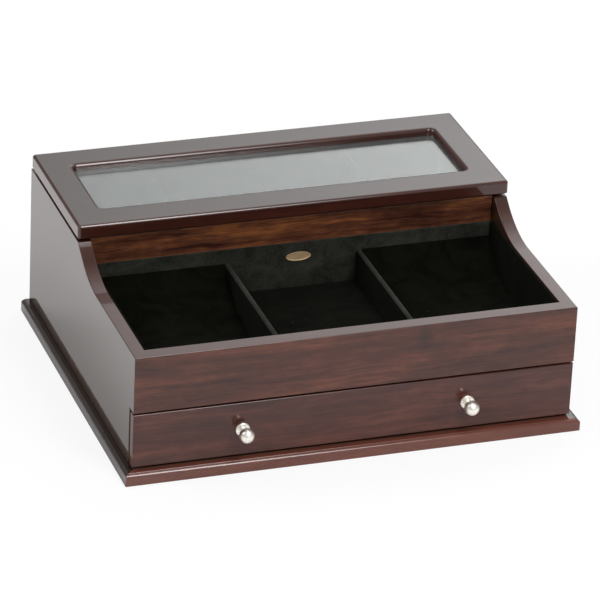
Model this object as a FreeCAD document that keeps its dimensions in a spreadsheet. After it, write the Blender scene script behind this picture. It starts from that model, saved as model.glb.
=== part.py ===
import FreeCAD, Part
import math
import os
from types import SimpleNamespace

import Sketcher

# A lacquered wooden valet box: an open velvet-lined tray in front, a glass-topped display
# compartment with a hinged lid behind it, and one full-width drawer below both.
#
# Frame: millimetres, +Z up, the table at Z = 0, +X to the right as seen from the front, and the
# front of the box towards -Y. The origin is the centre of the moulded foot's outline on the table.

os.makedirs("parts", exist_ok=True)
doc = FreeCAD.newDocument("ValetBox")

# Driving dimensions

DRIVING = {
    # the case
    "case_width": 300,
    "case_depth": 249,
    "case_top": 106.9,
    "case_foot": 8.6,
    "panel": 9,
    "rail": 10.2,
    "rim_height": 88.9,
    "rail_bottom": 49,
    "sweep_radius": 66,
    "sweep_foot": 87.8,
    "notch_depth": 9.2,
    # the moulded foot
    "plinth_overhang": 5.7,
    "plinth_height": 8.3,
    "plinth_round": 2.2,
    "plinth_bead": 0.4,
    "shadow_inset": 1,
    "felt": 1,
    # the boards inside the case
    "tray_board_base": 49.5,
    "tray_board": 3,
    "riser_face": 136.4,
    "riser": 6,
    # the velvet-covered pieces
    "lining": 1.4,
    "lining_top": 88.2,
    "divider_spacing": 92.6,
    "divider": 3.4,
    "divider_top": 78.1,
    "cove_card": 1.6,
    "tray_pad": 4,
    "display_lining_top": 104,
    "display_divider_pitch": 70.5,
    "display_divider": 3,
    "display_divider_top": 99,
    "display_pad": 3,
    "slack": 0.2,
    # the oval plate
    "badge_length": 17.4,
    "badge_height": 6.6,
    "badge_thickness": 0.8,
    "badge_edge": 0.3,
    "badge_offset": 3.6,
    "badge_centre": 78,
    # the lid
    "lid_gap": 2.4,
    "lid_thickness": 9.4,
    "lid_front": 132.1,
    "lid_side_overhang": 0.3,
    "lid_back_inset": 2.4,
    "lid_corner": 2,
    "lid_round": 1.9,
    "lid_under_round": 0.8,
    "window_width": 257.6,
    "window_front": 156,
    "window_back": 223.8,
    "window_corner": 3.4,
    "window_round": 2.6,
    "glass_depth": 5,
    "glass": 2,
    "glass_slack": 0.3,
    "rebate": 5,
    "bead_recess": 0.5,
    "bumper_radius": 3,
    "bumper_from_front": 147,
    # the hinges
    "hinge_spacing": 190,
    "hinge_length": 24,
    "hinge_leaf": 0.9,
    "hinge_leaf_width": 8,
    "hinge_let_in": 0.6,
    "knuckle_radius": 2,
    "knuckle_setback": 2.3,
    "knuckle_play": 0.15,
    "pin_radius": 0.9,
    "pin_play": 0.05,
    "pin_head": 1.5,
    "pin_head_thickness": 0.5,
    "hinge_screw_pitch": 14,
    "hinge_screw_setback": 4.6,
    "hinge_screw_radius": 0.9,
    "hinge_screw_head": 1.7,
    "hinge_screw_length": 7,
    "screw_play": 0.05,
    # the drawer
    "drawer_front": 6.2,
    "drawer_front_base": 10.2,
    "drawer_front_top": 47.8,
    "drawer_front_edge": 0.7,
    "drawer_side": 7,
    "drawer_side_play": 0.8,
    "drawer_run": 0.1,
    "drawer_wall_top": 44,
    "drawer_bottom": 3,
    "drawer_bottom_base": 10.6,
    "groove_depth": 3,
    "drawer_lining": 1.2,
    "drawer_lining_top": 43,
    # the knobs
    "knob_spacing": 153.6,
    "knob_height": 28.8,
    "knob_flange_radius": 4.9,
    "knob_flange": 1.8,
    "knob_flange_round": 1,
    "knob_neck_radius": 2,
    "knob_neck_end": 3.6,
    "knob_ball_radius": 5,
    "knob_ball_centre": 9.3,
    "knob_screw_radius": 1.5,
    "knob_screw_hole": 1.8,
    "knob_thread_play": 0.05,
    "knob_thread_depth": 7,
    "knob_screw_reach": 6,
    "knob_screw_head": 3.4,
    "knob_screw_head_thickness": 1.8,
    "knob_screw_clearance": 4.4,
}

sheet = doc.addObject("Spreadsheet::Sheet", "Dimensions")
for row, (alias, millimetres) in enumerate(DRIVING.items(), start=1):
    cell = f"A{row}"
    sheet.set(cell, str(millimetres))
    sheet.setAlias(cell, alias)
doc.recompute()


class Size:
    """A length: its value in millimetres, and the sheet expression that gives it."""

    def __init__(self, value, text):
        self.value = value
        self.text = text

    def __add__(self, other):
        other = size(other)
        return Size(self.value + other.value, f"({self.text} + {other.text})")

    def __sub__(self, other):
        other = size(other)
        return Size(self.value - other.value, f"({self.text} - {other.text})")

    def __mul__(self, other):
        other = size(other)
        return Size(self.value * other.value, f"({self.text} * {other.text})")

    def __truediv__(self, other):
        other = size(other)
        return Size(self.value / other.value, f"({self.text} / {other.text})")

    def __neg__(self):
        return size(0) - self

    __radd__ = __add__
    __rmul__ = __mul__

    def __rsub__(self, other):
        return size(other) - self


def size(number):
    """A plain number as a Size; a Size as it is."""
    return number if isinstance(number, Size) else Size(float(number), repr(float(number)))


def root(length):
    """The square root of a Size."""
    return Size(math.sqrt(length.value), f"sqrt({length.text})")


dim = SimpleNamespace(**{name: Size(sheet.get(name), f"Dimensions.{name}") for name in DRIVING})

# Planes and levels of the case, worked out from the driving dimensions

HALF_WIDTH = dim.case_width / 2
INNER_HALF = HALF_WIDTH - dim.panel
FRONT = (dim.plinth_overhang - dim.case_depth) / 2
BACK = FRONT + dim.case_depth
RAIL_BACK = FRONT + dim.rail
NOTCH = FRONT + dim.notch_depth
BACK_PANEL_FACE = BACK - dim.panel
RISER_FACE = FRONT + dim.riser_face
RISER_BACK = RISER_FACE + dim.riser
FLOOR = dim.tray_board_base + dim.tray_board
FOOT_HALF = HALF_WIDTH + dim.plinth_overhang
FOOT_FRONT = FRONT - dim.plinth_overhang
PLINTH_BACK_FACE = HALF_WIDTH - dim.shadow_inset

# Space inside the tray's lining
TRAY_HALF = INNER_HALF - dim.lining
TRAY_FRONT = RAIL_BACK + dim.lining
TRAY_BACK = RISER_FACE - dim.lining
DIVIDER_HALF = dim.divider_spacing / 2

# Space inside the display compartment's lining
DISPLAY_HALF = INNER_HALF - dim.lining
DISPLAY_FRONT = RISER_BACK + dim.lining
DISPLAY_BACK = BACK_PANEL_FACE - dim.lining

# The lid
LID_BASE = dim.case_top + dim.lid_gap
LID_TOP = LID_BASE + dim.lid_thickness
LID_FRONT = FRONT + dim.lid_front
LID_BACK = BACK - dim.lid_back_inset
LID_HALF = HALF_WIDTH + dim.lid_side_overhang
WINDOW_HALF = dim.window_width / 2
WINDOW_FRONT = FRONT + dim.window_front
WINDOW_BACK = FRONT + dim.window_back
GLASS_TOP = LID_TOP - dim.glass_depth
GLASS_BASE = GLASS_TOP - dim.glass

# The hinge line, half way up the gap under the lid and just behind the back panel
HINGE_Y = BACK + dim.knuckle_setback
HINGE_Z = dim.case_top + dim.lid_gap / 2

# The drawer
DRAWER_HALF = INNER_HALF - dim.drawer_side_play
DRAWER_INNER_HALF = DRAWER_HALF - dim.drawer_side
DRAWER_FACE_BACK = FRONT + dim.drawer_front
DRAWER_END = BACK_PANEL_FACE - dim.drawer_run
DRAWER_INNER_END = DRAWER_END - dim.drawer_side
DRAWER_FLOOR = dim.drawer_bottom_base + dim.drawer_bottom
DRAWER_PAD_TOP = DRAWER_FLOOR + dim.drawer_lining

X_AXIS = FreeCAD.Vector(1, 0, 0)
Y_AXIS = FreeCAD.Vector(0, 1, 0)
UPRIGHT = FreeCAD.Rotation()
ALONG_X = FreeCAD.Rotation(Y_AXIS, 90)
ALONG_Y = FreeCAD.Rotation(X_AXIS, -90)
SAME_PLACE = 0.01
# How far a cutting tool reaches past the surface it cuts
PAST = 1

pieces = []


# Ways of making a piece


def keep(thing, label):
    """Names a finished sub-part and puts it on the list of pieces to write."""
    thing.Label = label
    pieces.append(thing)
    return thing


def move(thing, at, rotation=UPRIGHT):
    """Puts a thing in its place, bound to the sheet."""
    thing.Placement = FreeCAD.Placement(FreeCAD.Vector(), rotation)
    for letter, place in zip("xyz", at):
        thing.setExpression("Placement.Base." + letter, size(place).text)


def block(name, x, y, z):
    """A plain rectangular board between two limits along each axis."""
    box = doc.addObject("Part::Box", name)
    for side, (low, high) in zip(("Length", "Width", "Height"), (x, y, z)):
        box.setExpression(side, (high - low).text)
    move(box, [low for low, high in (x, y, z)])
    return box


def rod(name, radius, length, at, rotation=UPRIGHT):
    """A round bar from a point along an axis."""
    bar = doc.addObject("Part::Cylinder", name)
    bar.setExpression("Radius", radius.text)
    bar.setExpression("Height", size(length).text)
    move(bar, at, rotation)
    return bar


def taper(name, low_radius, high_radius, height, at):
    """An upright cone with its first radius at the bottom."""
    cone = doc.addObject("Part::Cone", name)
    cone.setExpression("Radius1", low_radius.text)
    cone.setExpression("Radius2", high_radius.text)
    cone.setExpression("Height", height.text)
    move(cone, at)
    return cone


def fuse(name, shapes):
    """Several shapes joined into one solid."""
    joined = doc.addObject("Part::MultiFuse", name)
    joined.Shapes = shapes
    return joined


def group(name, shapes):
    """Identical pieces that share one node, each still a solid of its own."""
    several = doc.addObject("Part::Compound", name)
    several.Links = shapes
    return several


def cut(name, base, tools):
    """A shape with others taken away from it."""
    carved = doc.addObject("Part::Cut", name)
    carved.Base = base
    carved.Tool = tools[0] if len(tools) == 1 else fuse(name + "_tools", tools)
    return carved


def arc_between(start, end, radius, turn):
    """The arc from start to end that bends left (turn 1) or right (turn -1)."""
    run = end - start
    left = FreeCAD.Vector(-run.y, run.x, 0).normalize()
    rise = math.sqrt(max(radius**2 - (run.Length / 2) ** 2, 0))
    centre = (start + end) / 2 + left * (rise * turn)
    first, last = (start, end) if turn > 0 else (end, start)
    angles = [math.atan2(p.y - centre.y, p.x - centre.x) for p in (first, last)]
    circle = Part.Circle(centre, FreeCAD.Vector(0, 0, 1), radius)
    return Part.ArcOfCircle(circle, angles[0], angles[1])


def draw(sketch, outline):
    """Draws a closed outline, with every corner and radius bound to the sheet.

    A corner is (across, up). A corner (across, up, radius, turn) starts an arc to the next one.
    """
    corners = [(size(corner[0]), size(corner[1])) for corner in outline]
    spots = [FreeCAD.Vector(across.value, up.value, 0) for across, up in corners]
    ends = []
    for index, corner in enumerate(outline):
        start, end = spots[index], spots[(index + 1) % len(spots)]
        if len(corner) == 2:
            edge = sketch.addGeometry(Part.LineSegment(start, end), False)
            ends.append((edge, 1, 2))
        else:
            radius, turn = size(corner[2]), corner[3]
            edge = sketch.addGeometry(arc_between(start, end, radius.value, turn), False)
            ends.append((edge, 1, 2) if turn > 0 else (edge, 2, 1))
            bind(sketch, Sketcher.Constraint("Radius", edge, radius.value), radius)
    for index, (edge, start, end) in enumerate(ends):
        following, following_start, _ = ends[(index + 1) % len(ends)]
        sketch.addConstraint(Sketcher.Constraint("Coincident", edge, end, following, following_start))
        across, up = corners[index]
        bind(sketch, Sketcher.Constraint("DistanceX", -1, 1, edge, start, across.value), across)
        bind(sketch, Sketcher.Constraint("DistanceY", -1, 1, edge, start, up.value), up)


def bind(sketch, constraint, length):
    """Adds a constraint whose value the sheet gives."""
    number = sketch.addConstraint(constraint)
    sketch.setExpression(f"Constraints[{number}]", length.text)


def new_sketch(body, name, plane, outlines, level=0):
    """A sketch on one of the body's own planes, or a level away from it along the plane's normal."""
    sketch = body.newObject("Sketcher::SketchObject", name)
    origin_plane = [f for f in body.Origin.OriginFeatures if f.Role == plane][0]
    sketch.AttachmentSupport = [(origin_plane, "")]
    sketch.MapMode = "FlatFace"
    sketch.setExpression("AttachmentOffset.Base.z", size(level).text)
    for outline in outlines:
        draw(sketch, outline)
    return sketch


def new_body(name, at=(0, 0, 0)):
    """An empty body in its place."""
    body = doc.addObject("PartDesign::Body", name)
    move(body, at)
    return body


def pad(body, name, plane, outlines, length, level=0, reverse=False):
    """Material along the plane's normal, from one or more outlines."""
    feature = body.newObject("PartDesign::Pad", name)
    feature.Profile = new_sketch(body, name + "_sketch", plane, outlines, level)
    feature.setExpression("Length", size(length).text)
    feature.Reversed = reverse
    doc.recompute()
    return feature


def pocket(body, name, plane, outlines, length, level=0, reverse=False):
    """Material taken away, with a check that something was."""
    before = body.Shape.Volume
    feature = body.newObject("PartDesign::Pocket", name)
    feature.Profile = new_sketch(body, name + "_sketch", plane, outlines, level)
    feature.setExpression("Length", size(length).text)
    feature.Reversed = reverse
    doc.recompute()
    if not body.Shape.Volume < before:
        raise RuntimeError(f"{name} takes nothing away")
    return feature


def ease(body, name, radius, wanted, kind="Fillet"):
    """Rounds or chamfers the edges of the body for which wanted(edge) is true."""
    base = body.Tip
    names = [f"Edge{n}" for n, edge in enumerate(base.Shape.Edges, start=1) if wanted(edge)]
    if not names:
        raise RuntimeError(f"{name} finds no edge")
    feature = body.newObject("PartDesign::" + kind, name)
    feature.Base = (base, names)
    feature.setExpression("Radius" if kind == "Fillet" else "Size", radius.text)
    doc.recompute()
    return feature


def rectangle(x, y):
    """The outline of a rectangle between two limits along each direction."""
    return [(x[0], y[0]), (x[1], y[0]), (x[1], y[1]), (x[0], y[1])]


def rounded_rectangle(x, y, radius):
    """The same with rounded corners."""
    return [
        (x[0] + radius, y[0]),
        (x[1] - radius, y[0], radius, 1),
        (x[1], y[0] + radius),
        (x[1], y[1] - radius, radius, 1),
        (x[1] - radius, y[1]),
        (x[0] + radius, y[1], radius, 1),
        (x[0], y[1] - radius),
        (x[0], y[0] + radius, radius, 1),
    ]


def lies_at_height(edge, height):
    """True for an edge that lies in the level plane at this height."""
    box = edge.BoundBox
    return abs(box.ZMin - height.value) < SAME_PLACE and abs(box.ZMax - height.value) < SAME_PLACE


def left_and_right(left_name, right_name):
    """The two sides of the box: the name of the piece there, and which way is outwards."""
    return ((left_name, -1), (right_name, 1))


# The case


def base():
    """The felt, the bottom board and the three moulded lengths of the foot, mitred in front."""
    keep(
        block(
            "BaseFelt",
            (-PLINTH_BACK_FACE, PLINTH_BACK_FACE),
            (FRONT + dim.shadow_inset, BACK),
            (size(0), dim.felt),
        ),
        "base_felt",
    )
    keep(
        block(
            "BaseBoard",
            (-PLINTH_BACK_FACE, PLINTH_BACK_FACE),
            (FRONT + dim.shadow_inset, BACK),
            (dim.felt, dim.case_foot),
        ),
        "base_board",
    )
    width = dim.plinth_overhang + dim.shadow_inset
    shelf = dim.plinth_height - dim.plinth_bead
    step = width - dim.plinth_round

    def moulding(outwards):
        """The foot's section: a rounded outer edge, and a small round step behind it."""
        return [
            (0, 0),
            (width * outwards, 0),
            (width * outwards, shelf - dim.plinth_round, dim.plinth_round, outwards),
            (step * outwards, shelf, dim.plinth_bead, outwards),
            ((step - dim.plinth_bead) * outwards, dim.plinth_height),
            (0, dim.plinth_height),
        ]

    def mitre(side):
        """The triangle in front of the mitre line at one front corner, seen from above."""
        return [
            (width * side, FOOT_FRONT),
            (width * side, FOOT_FRONT - PAST),
            (0, FOOT_FRONT - PAST),
            (0, FOOT_FRONT + width),
        ]

    for label, side in left_and_right("plinth_left", "plinth_right"):
        body = new_body("Body_" + label, (PLINTH_BACK_FACE * side, 0, 0))
        pad(body, label + "_length", "XZ_Plane", [moulding(side)], BACK - FOOT_FRONT, level=-BACK)
        pocket(body, label + "_mitre", "XY_Plane", [mitre(side)], dim.case_top, reverse=True)
        keep(body, label)

    body = new_body("Body_plinth_front", (0, 0, 0))
    section = [(FRONT + dim.shadow_inset + across, *rest) for across, *rest in moulding(-1)]
    pad(body, "front_length", "YZ_Plane", [section], FOOT_HALF * 2, level=-FOOT_HALF)
    for side in (-1, 1):
        outside = [
            (FOOT_HALF * side, FOOT_FRONT),
            ((FOOT_HALF + PAST) * side, FOOT_FRONT),
            ((FOOT_HALF + PAST) * side, FOOT_FRONT + width + PAST),
            (PLINTH_BACK_FACE * side, FOOT_FRONT + width + PAST),
            (PLINTH_BACK_FACE * side, FOOT_FRONT + width),
        ]
        name = "front_mitre_left" if side < 0 else "front_mitre_right"
        pocket(body, name, "XY_Plane", [outside], dim.case_top, reverse=True)
    keep(body, "plinth_front")


def side_panels():
    """The sides. The top edge runs level from the back, sweeps down to the tray's rim and runs level
    to the front. Below the front rail each side is cut back for the end of the drawer front."""
    radius = dim.sweep_radius
    below_centre = radius - (dim.case_top - dim.rim_height)
    sweep_start = FRONT + dim.sweep_foot
    sweep_end = sweep_start + root(radius * radius - below_centre * below_centre)
    outline = [
        (NOTCH, dim.case_foot),
        (BACK, dim.case_foot),
        (BACK, dim.case_top),
        (sweep_end, dim.case_top, radius, -1),
        (sweep_start, dim.rim_height),
        (FRONT, dim.rim_height),
        (FRONT, dim.rail_bottom),
        (NOTCH, dim.rail_bottom),
    ]
    for label, side in left_and_right("left_side_panel", "right_side_panel"):
        inner_face = INNER_HALF * side
        body = new_body("Body_" + label, (inner_face, 0, 0))
        pad(body, label + "_board", "YZ_Plane", [outline], dim.panel, reverse=side < 0)
        mitre = [
            (size(0), FRONT - PAST),
            (dim.panel * side, FRONT - PAST),
            (dim.panel * side, FRONT),
            (size(0), RAIL_BACK),
        ]
        pocket(
            body,
            label + "_mitre",
            "XY_Plane",
            [mitre],
            dim.case_top,
            level=dim.rail_bottom,
            reverse=True,
        )
        keep(body, label)


def front_rail():
    """The fixed upper front, mitred to the sides."""
    plan = [
        (-HALF_WIDTH, FRONT),
        (HALF_WIDTH, FRONT),
        (INNER_HALF, RAIL_BACK),
        (-INNER_HALF, RAIL_BACK),
    ]
    body = new_body("Body_front_rail", (0, 0, dim.rail_bottom))
    pad(body, "rail", "XY_Plane", [plan], dim.rim_height - dim.rail_bottom)
    keep(body, "front_rail")


def inner_boards():
    """The tray's floor, which runs on under the display compartment, and the riser between them."""
    across = (-INNER_HALF, INNER_HALF)
    keep(
        block("TrayBoard", across, (RAIL_BACK, BACK_PANEL_FACE), (dim.tray_board_base, FLOOR)),
        "tray_board",
    )
    keep(
        block("Riser", across, (RISER_FACE, RISER_BACK), (FLOOR, dim.case_top)),
        "riser_panel",
    )


def back_panel():
    """The back, between the sides, with a shallow seat in its top edge for each hinge leaf."""
    board = block(
        "BackBoard",
        (-INNER_HALF, INNER_HALF),
        (BACK_PANEL_FACE, BACK),
        (dim.case_foot, dim.case_top),
    )
    seats = [
        block(
            "BackSeat" + name,
            (centre - dim.hinge_length / 2, centre + dim.hinge_length / 2),
            (BACK - dim.hinge_leaf_width, BACK + PAST),
            (dim.case_top - dim.hinge_let_in, dim.case_top + PAST),
        )
        for name, centre in hinge_centres()
    ]
    seat_floor = dim.case_top - dim.hinge_let_in
    holes = pilot_holes("BackPilot", seat_floor - dim.hinge_screw_length - PAST)
    keep(cut("BackPanel", board, seats + holes), "back_panel")


# The velvet-covered pieces


def tray_linings():
    """Velvet-covered card on the four walls of the tray."""
    height = (FLOOR, dim.lining_top)
    across = (-INNER_HALF, INNER_HALF)
    keep(block("TrayLiningFront", across, (RAIL_BACK, TRAY_FRONT), height), "tray_lining_front")
    keep(block("TrayLiningBack", across, (TRAY_BACK, RISER_FACE), height), "tray_lining_back")
    depth = (TRAY_FRONT, TRAY_BACK)
    keep(block("TrayLiningLeft", (-INNER_HALF, -TRAY_HALF), depth, height), "tray_lining_left")
    keep(block("TrayLiningRight", (TRAY_HALF, INNER_HALF), depth, height), "tray_lining_right")


def tray_dividers():
    """Two fixed dividers, which part the tray into three."""
    for label, side in left_and_right("tray_divider_left", "tray_divider_right"):
        centre = DIVIDER_HALF * side
        keep(
            block(
                "Block_" + label,
                (centre - dim.divider / 2, centre + dim.divider / 2),
                (TRAY_FRONT, TRAY_BACK),
                (FLOOR, dim.divider_top),
            ),
            label,
        )


def coved_liners():
    """Card bent into a trough from front to back, in the two outer compartments."""
    middle = (TRAY_BACK + TRAY_FRONT) / 2
    outer_span = (TRAY_BACK - TRAY_FRONT) / 2 - dim.slack
    depth = dim.divider_top - FLOOR
    outer_radius = (outer_span * outer_span + depth * depth) / (depth * 2)
    inner_radius = outer_radius - dim.cove_card
    rise = outer_radius - depth
    inner_span = root(inner_radius * inner_radius - rise * rise)
    outline = [
        (middle - inner_span, dim.divider_top, inner_radius, 1),
        (middle + inner_span, dim.divider_top),
        (middle + outer_span, dim.divider_top, outer_radius, -1),
        (middle - outer_span, dim.divider_top),
    ]
    width = TRAY_HALF - DIVIDER_HALF - dim.divider / 2 - dim.slack * 2
    for label, side in left_and_right("coved_liner_left", "coved_liner_right"):
        start = (TRAY_HALF - dim.slack) * side
        body = new_body("Body_" + label, (start, 0, 0))
        pad(body, label + "_trough", "YZ_Plane", [outline], width, reverse=side > 0)
        keep(body, label)


def tray_floor_pad():
    """The padded flat floor of the middle compartment."""
    half = DIVIDER_HALF - dim.divider / 2 - dim.slack
    keep(
        block(
            "TrayPad",
            (-half, half),
            (TRAY_FRONT + dim.slack, TRAY_BACK - dim.slack),
            (FLOOR, FLOOR + dim.tray_pad),
        ),
        "tray_floor_pad",
    )


def badge():
    """A plain oval plate with a chamfered rim on the tray's back lining."""
    oval = doc.addObject("Part::Ellipse", "BadgeOval")
    oval.setExpression("MajorRadius", (dim.badge_length / 2).text)
    oval.setExpression("MinorRadius", (dim.badge_height / 2).text)
    plate = doc.addObject("Part::Extrusion", "BadgePlate")
    plate.Base = oval
    plate.DirMode = "Custom"
    plate.Dir = FreeCAD.Vector(0, 0, 1)
    plate.setExpression("LengthFwd", dim.badge_thickness.text)
    plate.Solid = True
    doc.recompute()
    rim = max(range(len(plate.Shape.Edges)), key=lambda n: plate.Shape.Edges[n].CenterOfMass.z)
    chamfered = doc.addObject("Part::Chamfer", "BadgeRim")
    chamfered.Base = plate
    edge = dim.badge_edge.value
    chamfered.Edges = [(rim + 1, edge, edge)]
    move(
        chamfered,
        (dim.badge_offset, TRAY_BACK, dim.badge_centre),
        FreeCAD.Rotation(X_AXIS, 90),
    )
    keep(chamfered, "badge_plate")


def display_compartment():
    """Lining, padded floor and the three dividers under the glass."""
    height = (FLOOR, dim.display_lining_top)
    across = (-INNER_HALF, INNER_HALF)
    keep(block("DisplayLiningFront", across, (RISER_BACK, DISPLAY_FRONT), height), "display_lining_front")
    keep(block("DisplayLiningBack", across, (DISPLAY_BACK, BACK_PANEL_FACE), height), "display_lining_back")
    depth = (DISPLAY_FRONT, DISPLAY_BACK)
    keep(block("DisplayLiningLeft", (-INNER_HALF, -DISPLAY_HALF), depth, height), "display_lining_left")
    keep(block("DisplayLiningRight", (DISPLAY_HALF, INNER_HALF), depth, height), "display_lining_right")
    pad_top = FLOOR + dim.display_pad
    keep(
        block("DisplayPad", (-DISPLAY_HALF, DISPLAY_HALF), depth, (FLOOR, pad_top)),
        "display_floor_pad",
    )
    labels = ("display_divider_left", "display_divider_middle", "display_divider_right")
    for label, step in zip(labels, (-1, 0, 1)):
        centre = dim.display_divider_pitch * step
        keep(
            block(
                "Block_" + label,
                (centre - dim.display_divider / 2, centre + dim.display_divider / 2),
                depth,
                (pad_top, dim.display_divider_top),
            ),
            label,
        )


# The lid


def lid_frame():
    """One board with a rounded window, a rebate for the glass below it, and two hinge seats."""
    body = new_body("Body_lid_frame", (0, 0, 0))
    outside = rounded_rectangle((-LID_HALF, LID_HALF), (LID_FRONT, LID_BACK), dim.lid_corner)
    window = rounded_rectangle(
        (-WINDOW_HALF, WINDOW_HALF), (WINDOW_FRONT, WINDOW_BACK), dim.window_corner
    )
    pad(body, "lid_board", "XY_Plane", [outside, window], dim.lid_thickness, level=LID_BASE)
    corner = dim.lid_corner.value

    def on_outer_wall(edge):
        middle = edge.CenterOfMass
        return (
            abs(middle.x) > LID_HALF.value - corner
            or middle.y < LID_FRONT.value + corner
            or middle.y > LID_BACK.value - corner
        )

    ease(
        body,
        "window_rounding",
        dim.window_round,
        lambda edge: lies_at_height(edge, LID_TOP) and not on_outer_wall(edge),
    )
    ease(
        body,
        "top_rounding",
        dim.lid_round,
        lambda edge: lies_at_height(edge, LID_TOP) and on_outer_wall(edge),
    )
    ease(
        body,
        "under_rounding",
        dim.lid_under_round,
        lambda edge: lies_at_height(edge, LID_BASE) and on_outer_wall(edge),
    )
    rebate = rectangle(
        (-WINDOW_HALF - dim.rebate, WINDOW_HALF + dim.rebate),
        (WINDOW_FRONT - dim.rebate, WINDOW_BACK + dim.rebate),
    )
    pocket(body, "glass_rebate", "XY_Plane", [rebate], GLASS_TOP - LID_BASE, LID_BASE, reverse=True)
    for name, centre in hinge_centres():
        seat = rectangle(
            (centre - dim.hinge_length / 2, centre + dim.hinge_length / 2),
            (BACK - dim.hinge_leaf_width, BACK),
        )
        pocket(body, "hinge_seat" + name, "XY_Plane", [seat], dim.hinge_let_in, LID_BASE, reverse=True)
    holes = pilot_holes("LidPilot", LID_BASE + dim.hinge_let_in - PAST)
    keep(cut("LidFrame", body, holes), "lid_frame")


def glazing():
    """The pane, and the four beads that hold it up in the rebate."""
    half = WINDOW_HALF + dim.rebate
    front = WINDOW_FRONT - dim.rebate
    back = WINDOW_BACK + dim.rebate
    keep(
        block(
            "Pane",
            (-half + dim.glass_slack, half - dim.glass_slack),
            (front + dim.glass_slack, back - dim.glass_slack),
            (GLASS_BASE, GLASS_TOP),
        ),
        "glass_pane",
    )
    height = (LID_BASE + dim.bead_recess, GLASS_BASE)
    across = (-half, half)
    between = (WINDOW_FRONT, WINDOW_BACK)
    keep(block("BeadFront", across, (front, WINDOW_FRONT), height), "glass_bead_front")
    keep(block("BeadBack", across, (WINDOW_BACK, back), height), "glass_bead_back")
    keep(block("BeadLeft", (-half, -WINDOW_HALF), between, height), "glass_bead_left")
    keep(block("BeadRight", (WINDOW_HALF, half), between, height), "glass_bead_right")


def lid_bumpers():
    """A small felt pad on each side panel, which the closed lid rests on."""
    discs = [
        rod(
            "Bumper" + name,
            dim.bumper_radius,
            dim.lid_gap,
            ((HALF_WIDTH - dim.panel / 2) * side, FRONT + dim.bumper_from_front, dim.case_top),
        )
        for name, side in left_and_right("Left", "Right")
    ]
    keep(group("Bumpers", discs), "lid_bumpers")


# The hinges


def hinge_centres():
    """The name and the X of each hinge."""
    return [("_left", -dim.hinge_spacing / 2), ("_right", dim.hinge_spacing / 2)]


def screw_centres(centre):
    """The X of the two screws of a leaf."""
    return [centre - dim.hinge_screw_pitch / 2, centre + dim.hinge_screw_pitch / 2]


def pilot_holes(name, bottom):
    """The holes in the wood for one row of hinge screws, open at the leaves."""
    radius = dim.hinge_screw_radius + dim.screw_play
    return [
        rod(
            f"{name}{side}_{index}",
            radius,
            dim.hinge_screw_length + 2 * PAST,
            (x, BACK - dim.hinge_screw_setback, bottom),
        )
        for side, centre in hinge_centres()
        for index, x in enumerate(screw_centres(centre))
    ]


def knuckle(name, centre, start, end, leaf_low, leaf_high):
    """One length of the hinge's barrel, with the tab that joins it to its leaf."""
    low = centre + start + dim.knuckle_play
    high = centre + end - dim.knuckle_play
    barrel = rod(name + "_barrel", dim.knuckle_radius, high - low, (low, HINGE_Y, HINGE_Z), ALONG_X)
    tab = block(name + "_tab", (low, high), (BACK - PAST, HINGE_Y), (leaf_low, leaf_high))
    return [barrel, tab]


def leaf(label, centre, leaf_low, leaf_high, spans, head_up):
    """A hinge leaf: a plate with two countersunk holes, and its share of the barrel."""
    half = dim.hinge_length / 2
    plate = block(
        label + "_plate",
        (centre - half, centre + half),
        (BACK - dim.hinge_leaf_width, BACK),
        (leaf_low, leaf_high),
    )
    parts = [plate]
    for index, (start, end) in enumerate(spans):
        parts += knuckle(f"{label}_{index}", centre, start, end, leaf_low, leaf_high)
    bore = rod(
        label + "_bore",
        dim.pin_radius + dim.pin_play,
        dim.hinge_length + 2 * PAST,
        (centre - half - PAST, HINGE_Y, HINGE_Z),
        ALONG_X,
    )
    tools = [bore]
    narrow = dim.hinge_screw_radius + dim.screw_play
    wide = dim.hinge_screw_head + dim.screw_play
    for index, x in enumerate(screw_centres(centre)):
        radii = (narrow, wide) if head_up else (wide, narrow)
        place = (x, BACK - dim.hinge_screw_setback, leaf_low)
        tools.append(taper(f"{label}_sink_{index}", *radii, leaf_high - leaf_low, place))
    keep(cut(label, fuse(label + "_solid", parts), tools), label)


def hinge_screw(name, x, low, high, head_up):
    """A countersunk wood screw, its head flush with the leaf."""
    setback = BACK - dim.hinge_screw_setback
    radii = (dim.hinge_screw_radius, dim.hinge_screw_head)
    if head_up:
        head = taper(name + "_head", *radii, high - low, (x, setback, low))
        start = low - dim.hinge_screw_length
    else:
        head = taper(name + "_head", *reversed(radii), high - low, (x, setback, low))
        start = high
    shank = rod(name + "_shank", dim.hinge_screw_radius, dim.hinge_screw_length, (x, setback, start))
    return fuse(name, [head, shank])


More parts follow.
